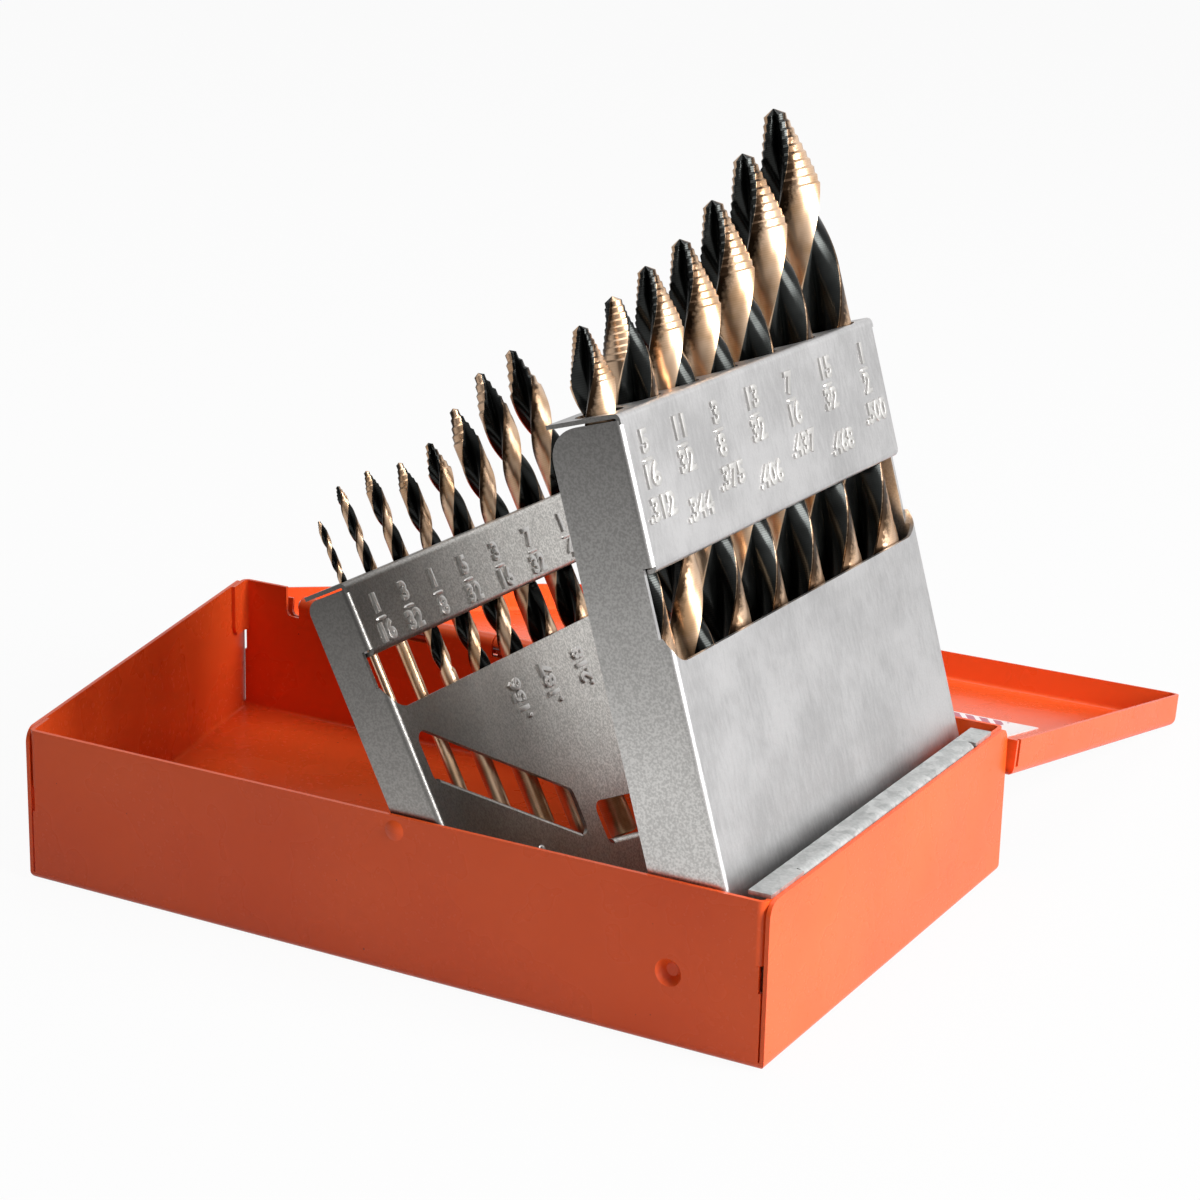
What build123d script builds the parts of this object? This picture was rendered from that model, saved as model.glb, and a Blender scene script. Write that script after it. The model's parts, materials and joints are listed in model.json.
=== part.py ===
"""Drill bit case: folded steel tray and hinged lid, two fold-down racks and fifteen drills.

Frame: X along the tray, Y from front to back, Z up; the origin is on the ground under the
middle of the tray's back length and depth. The racks stand leaning and the lid is open.
"""

import os
from math import asin, atan, atan2, cos, degrees, hypot, radians, sin

from build123d import *

# Tray, folded from one sheet: square at the right end, slanted at the left end
sheet = 0.8
tray_depth = 109.0
rim_height = 31.5
front_length = 163.0
back_length = 190.8
fold_radius = 1.6
corner_radius = 3.0
tab_height = 12.0
long_tab = 14.5
short_tab = 7.5
tab_gap = 0.1
corner_slit = 0.4
corner_notch = 0.9
corner_notch_height = 5.0
tab_rounding = 2.5

# Snap that holds the closed lid: a bump on the front wall and a dimple in the lid
snap_x = 19.0
snap_height = 28.6
snap_radius = 2.0
snap_rise = 0.45

# Hinge: knuckles rolled from both sheets round one wire
pin_radius = 1.35
pin_clearance = 0.05
pin_overhang = 0.6
axis_height = 27.0
shoulder_length = 13.4
notch_width = 3.3
notch_radius = 1.4
notch_air = 0.2
knuckle_count = 9
knuckle_gap = 0.4
roll_sweep = 290.0
lid_gap_angle = 40.0
hinge_air = 0.4

# Lid, hung open on the hinge with its front edge on the ground
lid_reach = 0.7
lid_height = 7.6
lid_rise = 6.33
lid_back_gap = 0.3
lid_bend = 2.0
lid_corner = 2.6
lid_relief = 1.4
lid_relief_height = 5.6
label_length = 110.0
label_width = 24.0
label_thickness = 0.2
label_from_axis = 39.0
label_from_end = 15.8

# Both racks: pans of zinc-plated sheet, open at the back
rack_sheet = 0.8
rack_near_gap = 0.5
rack_far_gap = 3.2
rack_bend = 1.2
rack_slit = 0.4
shelf_gap = 0.3
window_radius = 5.0
hole_clearance = 0.3
seat_gap = 0.1
pivot_clearance = 0.08

# Large rack, seven drills
large_pivot_from_end = 19.2
large_pivot_height = 14.2
large_lean = 16.35
large_face = 14.5
large_thickness = 14.7
large_top = 98.0
large_bottom = 10.0
large_heel_bend = 1.8
large_corner = 5.5
large_window_low = 53.8
large_window_high = 70.0
large_bit_inset = 7.3
large_first_bit = 6.2
large_last_bit = 8.6
tooling_hole_radius = 1.1
tooling_hole_height = 57.4
tooling_hole_inset = 5.9

# Small rack, eight drills
small_pivot_from_end = 60.9
small_pivot_height = 6.0
small_lean = 26.93
small_face = 5.91
small_thickness = 9.7
small_top = 72.7
small_corner = 2.5
small_window_low = 47.5
small_window_high = 58.4
small_bit_inset = 4.9
small_first_bit = 6.7
small_last_bit = 15.7
heel_gap = 0.05
seat_back_gap = 1.2
slot_radius = 2.0
steep_slot_start = 3.3
steep_slot_width = 39.4
steep_slot_seat = 34.3
steep_slot_slope = 0.637
steep_slot_height = 9.6
shallow_slot_start = 47.6
shallow_slot_end = 6.5
shallow_slot_seat = 6.6
shallow_slot_slope = 0.185
shallow_slot_height = 7.9

# Pivots
dimple_mouth = 2.6
dimple_floor = 1.2
dimple_depth = 1.7
dimple_boss = 2.2
dimple_boss_chamfer = 0.55
dimple_reach = 1.9
stud_radius = 2.2
stud_head_radius = 3.4
stud_head = 0.8
stud_air = 0.1
washer_radius = 4.6
lug_gap = 0.3
lug_radius = 4.4
lug_boss = 2.0
lug_boss_length = 1.1

# Bracket on the tray floor, with a lip along the right end wall
bracket_length = 70.0
lip_width = 4.4
lip_near_inset = 2.0
lip_far_inset = 7.0
lip_relief = 0.5

# Drills, by size in thirty-seconds of an inch
inch = 25.4
inch_parts = 32
small_lengths = (52.0, 62.5, 69.5, 75.5, 84.5, 91.5, 99.0, 104.0)
large_lengths = (122.4, 125.5, 128.9, 131.8, 137.1, 144.1, 151.1)
small_first_size = 2
large_first_size = 10
point_share = 1.25
tip_share = 0.35
tip_slope = 0.6
shank_chamfer_share = 0.06

skew = back_length - front_length
slant = atan(skew / tray_depth)
tray_front = -tray_depth / 2
tray_back = tray_depth / 2
tray_right = back_length / 2
tab_bottom = rim_height - tab_height
bore_radius = pin_radius + pin_clearance
roll_radius = bore_radius + sheet
axis_y = tray_back - sheet + roll_radius
hinge_half = back_length / 2 - shoulder_length - notch_width
notch_floor = axis_height - roll_radius - notch_air
rack_near = tray_front + sheet + rack_near_gap
rack_far = tray_back - sheet - rack_far_gap
rack_width = rack_far - rack_near
shallow_slot_width = rack_width - shallow_slot_start - shallow_slot_end
large_pivot = (tray_right - large_pivot_from_end, large_pivot_height)
small_pivot = (tray_right - small_pivot_from_end, small_pivot_height)
bracket_top = sheet + rack_sheet
cutter_length = 4 * max(sheet, rack_sheet)


def end_x(end, y, inset=0.0):
    """X of an end wall at depth y, set in from its outer face: 1 is the square end, -1 the slanted."""
    if end > 0:
        return tray_right - inset
    return -tray_right + skew * (tray_back - y) / tray_depth + inset / cos(slant)


def block(front, back, inset, low, high):
    """Tray-shaped block between two depths, its ends set in from the tray's."""
    corners = [(end_x(-1, front, inset), front), (end_x(1, front, inset), front)]
    corners += [(end_x(1, back, inset), back), (end_x(-1, back, inset), back)]
    return extrude(Pos(0, 0, low) * make_face(Polyline(*corners, close=True)), high - low)


def folded(points, radius, thickness, side):
    """Section of sheet whose outer face follows the points, with rounded folds."""
    path = FilletPolyline(*points, radius=radius)
    return make_face(offset(path, amount=thickness, side=side).edges())


def box(x0, x1, y0, y1, z0, z1):
    """Box between six planes."""
    size = (x1 - x0, y1 - y0, z1 - z0)
    return Pos((x0 + x1) / 2, (y0 + y1) / 2, (z0 + z1) / 2) * Box(*size)


def along_y(face, y0, y1):
    """Section drawn in X and Z, drawn out from one depth to another."""
    return extrude(Plane.XZ.offset(-y0) * face, y0 - y1)


def along_x(face, x0, x1):
    """Section drawn in Y and Z, drawn out from one X to another."""
    return extrude(Plane.YZ.offset(x0) * face, x1 - x0)


def wall_gap(end, back, inset0, inset1, low, high):
    """Slanted or square block that parts a long wall from an end wall."""
    y0 = tray_back - 2 * sheet if back else tray_front - sheet
    y1 = tray_back + sheet if back else tray_front + 2 * sheet
    points = [(end_x(end, y0, inset0), y0), (end_x(end, y0, inset1), y0)]
    points += [(end_x(end, y1, inset1), y1), (end_x(end, y1, inset0), y1)]
    return extrude(Pos(0, 0, low) * make_face(Polyline(*points, close=True)), high - low)


def corner_tab(end, back, length):
    """Upper end of a long wall, folded in beside the end wall, and the end of the fold."""
    wall_y = tray_back if back else tray_front
    tip_y = wall_y - length if back else wall_y + length
    inset = sheet + tab_gap
    start = (end_x(end, wall_y, inset + 2 * length), wall_y)
    corner = (end_x(end, wall_y, inset), wall_y)
    tip = (end_x(end, tip_y, inset), tip_y)
    side = Side.LEFT if (end > 0) != back else Side.RIGHT
    face = folded([start, corner, tip], fold_radius, sheet, side)
    tab = extrude(Pos(0, 0, tab_bottom) * face, tab_height)
    lower = tab.edges().filter_by(lambda e: e.length < 2 * sheet)
    lower = lower.sort_by_distance((tip[0], tip[1], tab_bottom))[0]
    return fillet(lower, tab_rounding)


def tray_shell():
    """Floor, bends and four walls, before the corners are parted."""
    outer = block(tray_front, tray_back, 0, 0, rim_height)
    outer = fillet(outer.edges().group_by(Axis.Z)[0], fold_radius)
    inner = block(tray_front + sheet, tray_back - sheet, sheet, sheet, rim_height + sheet)
    inner = fillet(inner.edges().group_by(Axis.Z)[0], fold_radius - sheet)
    return outer - inner


def end_wall_rounding(end, back):
    """Waste outside the rounded free top corner of an end wall."""
    inward = -1 if back else 1
    wall = tray_back if back else tray_front
    y, z = wall + inward * corner_radius, rim_height - corner_radius
    outside = wall - inward * sheet
    waste = Pos((y + outside) / 2, z + corner_radius / 2 + sheet / 2)
    waste *= Rectangle(abs(y - outside), corner_radius + sheet)
    waste -= Pos(y, z) * Circle(corner_radius)
    faces = [end_x(end, wall), end_x(end, y), end_x(end, wall, sheet), end_x(end, y, sheet)]
    return along_x(waste.face(), min(faces) - sheet / 2, max(faces) + sheet / 2)


def hinge_spans(first):
    """Spans along X of every second knuckle: the tray has the even ones, the lid the odd."""
    pitch = 2 * hinge_half / knuckle_count
    for k in range(first, knuckle_count, 2):
        x = -hinge_half + k * pitch
        yield x + knuckle_gap / 2, x + pitch - knuckle_gap / 2


def rolled(gap_centre):
    """Section of sheet rolled round the pin, open where its free end stops short."""
    ring = Circle(roll_radius) - Circle(bore_radius)
    far = 2 * roll_radius
    half = radians(180 - roll_sweep / 2)
    wedge = Polyline((0, 0), (far * cos(half), far * sin(half)), (far * cos(half), -far * sin(half)), close=True)
    return Pos(axis_y, axis_height) * (ring - Rot(0, 0, gap_centre) * make_face(wedge))


def tray_knuckle():
    """Section of a knuckle rolled outwards from the top of the back wall."""
    height = axis_height - notch_floor + sheet
    stem = Pos(tray_back - sheet / 2, axis_height - height / 2) * Rectangle(sheet, height)
    return rolled(-roll_sweep / 2) + stem


def back_wall_cut():
    """Lowered middle of the back wall, with rounded lower corners."""
    half = hinge_half + notch_width
    cut = box(-half, half, tray_back - 2 * sheet, tray_back + sheet, notch_floor, rim_height + sheet)
    return fillet(cut.edges().filter_by(Axis.Y).group_by(Axis.Z)[0], notch_radius)


def pivot_dimple():
    """Boss pressed inwards from the front wall and the recess behind it, as two solids."""
    reach = sheet + dimple_reach
    boss = Cylinder(dimple_boss, reach - sheet / 2, align=(Align.CENTER, Align.CENTER, Align.MIN))
    boss = chamfer(boss.edges().group_by(Axis.Z)[-1], dimple_boss_chamfer)
    recess = Cone(dimple_mouth, dimple_floor, dimple_depth, align=(Align.CENTER, Align.CENTER, Align.MIN))
    place = Plane(origin=(large_pivot[0], tray_front, large_pivot[1]), z_dir=(0, 1, 0))
    return place * Pos(0, 0, sheet / 2) * boss, place * recess


def snap_bump(radius, y):
    """Low dome standing out from a wall at depth y."""
    ball_radius = (radius**2 + snap_rise**2) / (2 * snap_rise)
    ball = Pos(snap_x, y + ball_radius - snap_rise, snap_height) * Sphere(ball_radius)
    return ball & box(snap_x - radius, snap_x + radius, y - snap_rise, y + sheet / 2, 0, rim_height)


def make_tray():
    """Tray with parted corners, folded tabs, knuckles, the pivot dimple and the snap bump."""
    tray = tray_shell()
    reach = sheet + tab_gap + fold_radius + corner_notch
    notch_low = tab_bottom - corner_notch_height
    for end, tab in ((1, long_tab), (-1, short_tab)):
        for back in (False, True):
            tray -= wall_gap(end, back, sheet, sheet + corner_slit, fold_radius, tab_bottom)
            tray -= wall_gap(end, back, sheet, sheet + corner_notch, notch_low, tab_bottom + sheet)
            tray -= wall_gap(end, back, sheet, reach, tab_bottom, rim_height + sheet)
            tray -= end_wall_rounding(end, back)
            tray += corner_tab(end, back, tab)
    tray -= back_wall_cut()
    for x0, x1 in hinge_spans(0):
        tray += along_x(tray_knuckle(), x0, x1)
    boss, recess = pivot_dimple()
    tray += boss
    tray -= recess
    tray -= far_stud_hole()
    tray += snap_bump(snap_radius, tray_front)
    return tray


def far_stud_hole():
    """Hole in the back wall for the large rack's stud."""
    hole = Cylinder(stud_radius, cutter_length)
    return Pos(large_pivot[0], tray_back, large_pivot[1]) * Rot(90, 0, 0) * hole


def make_hinge_pin():
    """Wire that runs through every knuckle."""
    length = 2 * (hinge_half + pin_overhang)
    return Pos(0, axis_y, axis_height) * Rot(0, 90, 0) * Cylinder(pin_radius, length)


def lid_block(grow, low, high, bend, corner):
    """Lid-shaped block with a rounded top and rounded front corners."""
    front = tray_front - lid_reach - grow
    back = axis_y - lid_back_gap - sheet + grow
    solid = block(front, back, -lid_reach - grow, low, high)
    upright = solid.edges().filter_by(Axis.Z).group_by(Axis.Y)[0]
    solid = fillet(upright, corner)
    return fillet(solid.edges().group_by(Axis.Z)[-1], bend)


def lid_knuckle():
    """Section of a knuckle hung from the lid's back wall."""
    wall = axis_y - lid_back_gap - sheet / 2
    strap = Pos(wall, axis_height + roll_radius) * Rectangle(sheet, 2 * sheet)
    bore = Pos(axis_y, axis_height) * Circle(bore_radius)
    return rolled(lid_gap_angle) + (strap - bore)


def closed_lid():
    """Lid as it lies when closed."""
    low = axis_height + lid_rise - lid_height
    top = axis_height + lid_rise
    outer = lid_block(sheet, low, top, lid_bend, lid_corner)
    inner = lid_block(0, low - sheet, top - sheet, lid_bend - sheet, lid_corner - sheet)
    lid = outer - inner
    back = axis_y - lid_back_gap
    half = hinge_half + notch_width
    middle = box(-half, half, back - 2 * sheet, back + sheet, low - sheet, axis_height + roll_radius + hinge_air)
    lid -= fillet(middle.edges().filter_by(Axis.Y).group_by(Axis.Z)[-1], notch_radius)
    for end in (1, -1):
        y1 = back - sheet
        y0 = y1 - lid_relief
        points = [(end_x(end, y0, 2 * sheet), y0), (end_x(end, y0, -4 * sheet), y0)]
        points += [(end_x(end, y1, -4 * sheet), y1), (end_x(end, y1, 2 * sheet), y1)]
        relief = extrude(Pos(0, 0, low) * make_face(Polyline(*points, close=True)), lid_relief_height)
        lid -= relief
    for x0, x1 in hinge_spans(1):
        lid += along_x(lid_knuckle(), x0, x1)
    lid -= snap_bump(snap_radius + hinge_air, tray_front - lid_reach)
    return lid


def opening_angle():
    """Angle from closed to where the lid's front edge meets the ground."""
    reach = axis_y - (tray_front - lid_reach - sheet)
    corner = (reach - lid_bend, lid_rise - lid_bend)
    droop = asin((axis_height - lid_bend) / hypot(*corner)) - atan2(corner[1], corner[0])
    return 180 + degrees(droop)


def opened(piece):
    """Piece of the closed lid, swung open about the hinge."""
    about = Axis((0, axis_y, axis_height), (1, 0, 0))
    return piece.rotate(about, -opening_angle())


def make_label():
    """Thin label on the inside of the lid's panel."""
    right = tray_right - label_from_end
    back = axis_y - label_from_axis
    top = axis_height + lid_rise - sheet
    return box(right - label_length, right, back - label_width, back, top - label_thickness, top)


def rack_pan(face, thickness, outline, top):
    """Face and side walls of a rack: one folded channel, trimmed to its side outline."""
    back = face - thickness
    points = [(back, rack_near), (face, rack_near), (face, rack_far), (back, rack_far)]
    channel = folded(points, rack_bend, rack_sheet, Side.LEFT)
    low = outline.bounding_box().min.Y
    high = outline.bounding_box().max.Y
    pan = extrude(Pos(0, 0, low) * channel, high - low)
    pan = pan & along_y(outline, rack_near, rack_far)
    flange = [(back, top), (face, top), (face, high - rack_sheet)]
    flange = folded(flange, rack_bend, rack_sheet, Side.RIGHT)
    return pan + along_y(flange, rack_near + shelf_gap, rack_far - shelf_gap)


def window(face, low, high):
    """Opening across a rack's whole face, with rounded lower corners."""
    depth = rack_sheet + rack_bend
    cut = box(face - depth, face + depth, rack_near, rack_far, low, high)
    edges = cut.edges().filter_by(Axis.X).group_by(Axis.Z)[0]
    return fillet(edges, window_radius)


def guide_shelf(face, thickness, height):
    """Metal of a window, folded back along its top edge."""
    back = face - thickness + shelf_gap
    points = [(back, height), (face, height), (face, height + 2 * rack_bend)]
    section = folded(points, rack_bend, rack_sheet, Side.LEFT)
    inner = rack_sheet + shelf_gap
    return along_y(section, rack_near + inner, rack_far - inner)


def bit_places(first_size, count, first, last):
    """Depth and radius of each drill in a rack, with equal gaps between neighbours."""
    radii = [(first_size + k) * inch / inch_parts / 2 for k in range(count)]
    spans = [before + after for before, after in zip(radii, radii[1:])]
    gap = (rack_width - first - last - sum(spans)) / len(spans)
    places = [(rack_near + first, radii[0])]
    for radius, span in zip(radii[1:], spans):
        places.append((places[-1][0] + span + gap, radius))
    return places


def large_bits():
    """Depth and radius of each drill in the large rack."""
    return bit_places(large_first_size, len(large_lengths), large_first_bit, large_last_bit)


def small_bits():
    """Depth and radius of each drill in the small rack."""
    return bit_places(small_first_size, len(small_lengths), small_first_bit, small_last_bit)


def bit_holes(places, v, low, high):
    """Holes for drills, from one height to another."""
    holes = [Pos(v, y, (low + high) / 2) * Cylinder(r + hole_clearance, high - low) for y, r in places]
    return Part() + holes


def pivot_hole(radius):
    """Hole through both side walls about the pivot."""
    return Pos(0, (rack_near + rack_far) / 2, 0) * Rot(90, 0, 0) * Cylinder(radius, rack_width + sheet)


def large_outline():
    """Side of the large rack: across and up from the pivot."""
    back = large_face - large_thickness
    high = large_top - rack_sheet - rack_slit
    centre = ((back + large_face) / 2, (high - large_bottom) / 2)
    shape = Pos(*centre) * Rectangle(large_thickness, high + large_bottom)
    shape = fillet(shape.vertices().sort_by(Axis.Y)[:2].sort_by(Axis.X)[-1], large_heel_bend)
    return fillet(shape.vertices().sort_by(Axis.Y)[-2:].sort_by(Axis.X)[0], large_corner)


def make_large_rack():
    """Large rack, upright about its pivot."""
    rack = rack_pan(large_face, large_thickness, large_outline(), large_top)
    rack -= window(large_face, large_window_low, large_window_high + rack_bend)
    rack += guide_shelf(large_face, large_thickness, large_window_high)
    back = large_face - large_thickness
    seat = [(back, -large_bottom), (large_face, -large_bottom), (large_face, 2 * large_heel_bend - large_bottom)]
    seat = folded(seat, large_heel_bend, rack_sheet, Side.LEFT)
    inner = rack_sheet + shelf_gap
    rack += along_y(seat, rack_near + inner, rack_far - inner)
    bit_v = large_face - large_bit_inset
    rack -= bit_holes(large_bits(), bit_v, large_window_high - rack_sheet, large_top + rack_sheet)
    tooling = Cylinder(tooling_hole_radius, cutter_length)
    rack -= Pos(large_face - tooling_hole_inset, rack_far, tooling_hole_height) * Rot(90, 0, 0) * tooling
    near = Pos(0, rack_near, 0) * Rot(90, 0, 0) * Cylinder(dimple_boss + pivot_clearance, cutter_length)
    far = Pos(0, rack_far, 0) * Rot(90, 0, 0) * Cylinder(stud_radius + pivot_clearance, cutter_length)
    return rack - near - far


def small_heel():
    """Height of the small rack's heel below its pivot, where it rests on the bracket."""
    lean = radians(small_lean)
    inner = small_face - rack_sheet
    rest = bracket_top + heel_gap - small_pivot_height
    return (rest - inner * sin(lean)) / cos(lean)


def small_outline():
    """Side of the small rack: across and up from the pivot, with a heel under the face."""
    back = small_face - small_thickness
    radius = -back
    high = small_top - rack_sheet - rack_slit
    heel = small_heel()
    arc = RadiusArc((back, 0), (0, -radius), radius)
    path = [(0, -radius), (small_face - rack_sheet, heel), (small_face, heel), (small_face, high)]
    path += [(back, high), (back, 0)]
    shape = make_face([arc.edge(), *Polyline(*path).edges()])
    return fillet(shape.vertices().sort_by(Axis.Y)[-2:].sort_by(Axis.X)[0], small_corner)


def slot_point(start, height, slope, across, up):
    """Point in a rack's face, across and above the start of a slanted slot."""
    return Vector(0, rack_near + start + across, height - slope * across + up)


def slanted_slot(start, width, height, slope, rise):
    """Slanted opening in the small rack's face, down to the bend of its seat."""
    corners = [(0, -rack_bend), (width, -rack_bend), (width, rise), (0, rise)]
    points = [slot_point(start, height, slope, across, up) for across, up in corners]
    flat = [(p.Y, p.Z) for p in points]
    outline = fillet(make_face(Polyline(*flat, close=True)).vertices(), slot_radius)
    return along_x(outline, small_face - 2 * rack_sheet, small_face + rack_sheet)


def slanted_seat(start, width, height, slope):
    """Metal of a slanted slot, folded back along its lower edge as the drills' seat."""
    begin = slot_point(start, height, slope, slot_radius, 0)
    finish = slot_point(start, height, slope, width - slot_radius, 0)
    along = finish - begin
    place = Plane(origin=begin, x_dir=(1, 0, 0), z_dir=along)
    back = small_face - small_thickness + seat_back_gap
    down = -2 * rack_bend if place.y_dir.Z > 0 else 2 * rack_bend
    side = Side.RIGHT if place.y_dir.Z > 0 else Side.LEFT
    section = folded([(back, 0), (small_face, 0), (small_face, down)], rack_bend, rack_sheet, side)
    return extrude(place * section, along.length)


def make_small_rack():
    """Small rack, upright about its pivot."""
    rack = rack_pan(small_face, small_thickness, small_outline(), small_top)
    rack -= window(small_face, small_window_low, small_window_high + rack_bend)
    rack += guide_shelf(small_face, small_thickness, small_window_high)
    steep = (steep_slot_start, steep_slot_width, steep_slot_seat, steep_slot_slope)
    shallow = (shallow_slot_start, shallow_slot_width, shallow_slot_seat, shallow_slot_slope)
    rack -= slanted_slot(*steep, steep_slot_height)
    rack -= slanted_slot(*shallow, shallow_slot_height)
    rack += slanted_seat(*steep)
    rack += slanted_seat(*shallow)
    bit_v = small_face - small_bit_inset
    rack -= bit_holes(small_bits(), bit_v, small_window_high - rack_sheet, small_top + rack_sheet)
    return rack - pivot_hole(lug_boss + pivot_clearance)


def leaned(piece, pivot, lean):
    """Piece of an upright rack, leaned to the left about its pivot."""
    return Pos(pivot[0], 0, pivot[1]) * Rot(0, -lean, 0) * piece


def make_pivot_stud():
    """Shouldered stud at the large rack's far side, from its inner head to its outer head."""
    start = rack_far - rack_sheet - stud_air - stud_head
    finish = tray_back + stud_head
    shank = Cylinder(stud_radius, finish - start)
    head = Cylinder(stud_head_radius, stud_head)
    inner = Pos(0, 0, (finish - start - stud_head) / 2) * head
    outer = Pos(0, 0, -(finish - start - stud_head) / 2) * head
    stud = shank + inner + outer
    return Pos(large_pivot[0], (start + finish) / 2, large_pivot[1]) * Rot(90, 0, 0) * stud


def make_spacer_washer():
    """Washer on the stud, between the rack and the back wall."""
    start = rack_far + stud_air
    finish = tray_back - sheet
    ring = Cylinder(washer_radius, finish - start) - Cylinder(stud_radius, finish - start)
    return Pos(large_pivot[0], (start + finish) / 2, large_pivot[1]) * Rot(90, 0, 0) * ring


def lug(outer, inward):
    """Upright ear of the bracket beside a rack wall, with its boss: inward is 1 or -1."""
    x, z = small_pivot
    inner = outer + inward * rack_sheet
    ear = Pos(x, z) * Circle(lug_radius)
    ear += Pos(x, (z + sheet) / 2) * Rectangle(2 * lug_radius, z - sheet)
    plate = along_y(ear.face(), min(outer, inner), max(outer, inner))
    boss_end = outer - inward * lug_boss_length
    boss = along_y((Pos(x, z) * Circle(lug_boss)).face(), min(outer, boss_end), max(outer, boss_end))
    return plate + boss


def make_bracket():
    """Bracket: floor plate, two lugs with bosses, and a leg that ends in a lip over the end wall."""
    near = rack_near + rack_sheet + lug_gap
    far = rack_far - rack_sheet - lug_gap
    wall = tray_right - sheet - tab_gap
    left = tray_right - bracket_length
    lip_end = wall - lip_width
    top = rim_height + rack_sheet
    points = [(left, sheet), (wall, sheet), (wall, top), (lip_end, top)]
    section = folded(points, fold_radius, rack_sheet, Side.LEFT)
    leg_near = tray_front + long_tab + 2 * lip_relief
    leg_far = tray_back - long_tab - 2 * lip_relief
    bracket = along_y(section, leg_near, leg_far)
    bracket += box(left, wall - fold_radius, near, far, sheet, sheet + rack_sheet)
    lip_near = tray_front + lip_near_inset
    lip_far = tray_back - lip_far_inset
    for y0, y1 in ((lip_near, leg_near - lip_relief), (leg_far + lip_relief, lip_far)):
        bracket += box(lip_end, wall, y0, y1, rim_height, top)
    bracket += box(lip_end, wall - fold_radius, lip_near, lip_far, rim_height, top)
    return bracket + lug(near, 1) + lug(far, -1)


def drill(radius, length):
    """Drill standing on the origin: chamfered shank, body and the long taper of its point."""
    taper = point_share * 2 * radius
    tip = tip_share * radius
    chamfer = shank_chamfer_share * 2 * radius
    points = [(0, 0), (radius - chamfer, 0), (radius, chamfer), (radius, length - taper)]
    points += [(tip, length - tip * tip_slope), (0, length)]
    profile = make_face(Plane.XZ * Polyline(*points, close=True))
    return revolve(profile, Axis.Z)


def size_name(size):
    """Name of a drill by its size in thirty-seconds of an inch, such as drill_3_16."""
    base = inch_parts
    while size % 2 == 0 and base > 2:
        size //= 2
        base //= 2
    return f"drill_{size}_{base}"


def seat_height(y, radius):
    """Height above the pivot at which a drill's end stands on a slanted seat."""
    places = (
        (steep_slot_start, steep_slot_width, steep_slot_seat, steep_slot_slope),
        (shallow_slot_start, shallow_slot_width, shallow_slot_seat, shallow_slot_slope),
    )
    for start, width, height, slope in places:
        across = y - radius - rack_near - start
        if across < width:
            return height - slope * across
    return height - slope * across


def write_drills():
    """Write each drill as it stands in its rack."""
    v = large_face - large_bit_inset
    seat = -large_bottom + rack_sheet + seat_gap
    for k, (y, radius) in enumerate(large_bits()):
        bit = Pos(v, y, seat) * drill(radius, large_lengths[k])
        write(leaned(bit, large_pivot, large_lean), size_name(large_first_size + k))
    v = small_face - small_bit_inset
    for k, (y, radius) in enumerate(small_bits()):
        seat = seat_height(y, radius) + seat_gap
        bit = Pos(v, y, seat) * drill(radius, small_lengths[k])
        write(leaned(bit, small_pivot, small_lean), size_name(small_first_size + k))


def write(shape, name):
    """Write one piece to its STEP file."""
    export_step(shape, f"parts/{name}.step")


os.makedirs("parts", exist_ok=True)
write(make_tray(), "tray")
write(opened(closed_lid()), "lid")
write(make_hinge_pin(), "hinge_pin")
write(opened(make_label()), "lid_label")
write(make_bracket(), "rack_bracket")
write(leaned(make_large_rack(), large_pivot, large_lean), "large_rack")
write(leaned(make_small_rack(), small_pivot, small_lean), "small_rack")
write(make_pivot_stud(), "pivot_stud")
write(make_spacer_washer(), "spacer_washer")
write_drills()
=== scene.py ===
"""Dress for the drill bit case: enamelled tray and lid, zinc racks with raised sizes, twist drills.

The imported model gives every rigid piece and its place. This script adds the fluted drills and the
raised size numbers, and gives each piece its finish, the studio and the camera.
"""

from __future__ import annotations

import json
import logging
import math
from dataclasses import dataclass, field
from enum import Enum

import bmesh
import bpy
import numpy as np
from mathutils import Matrix, Vector

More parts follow.
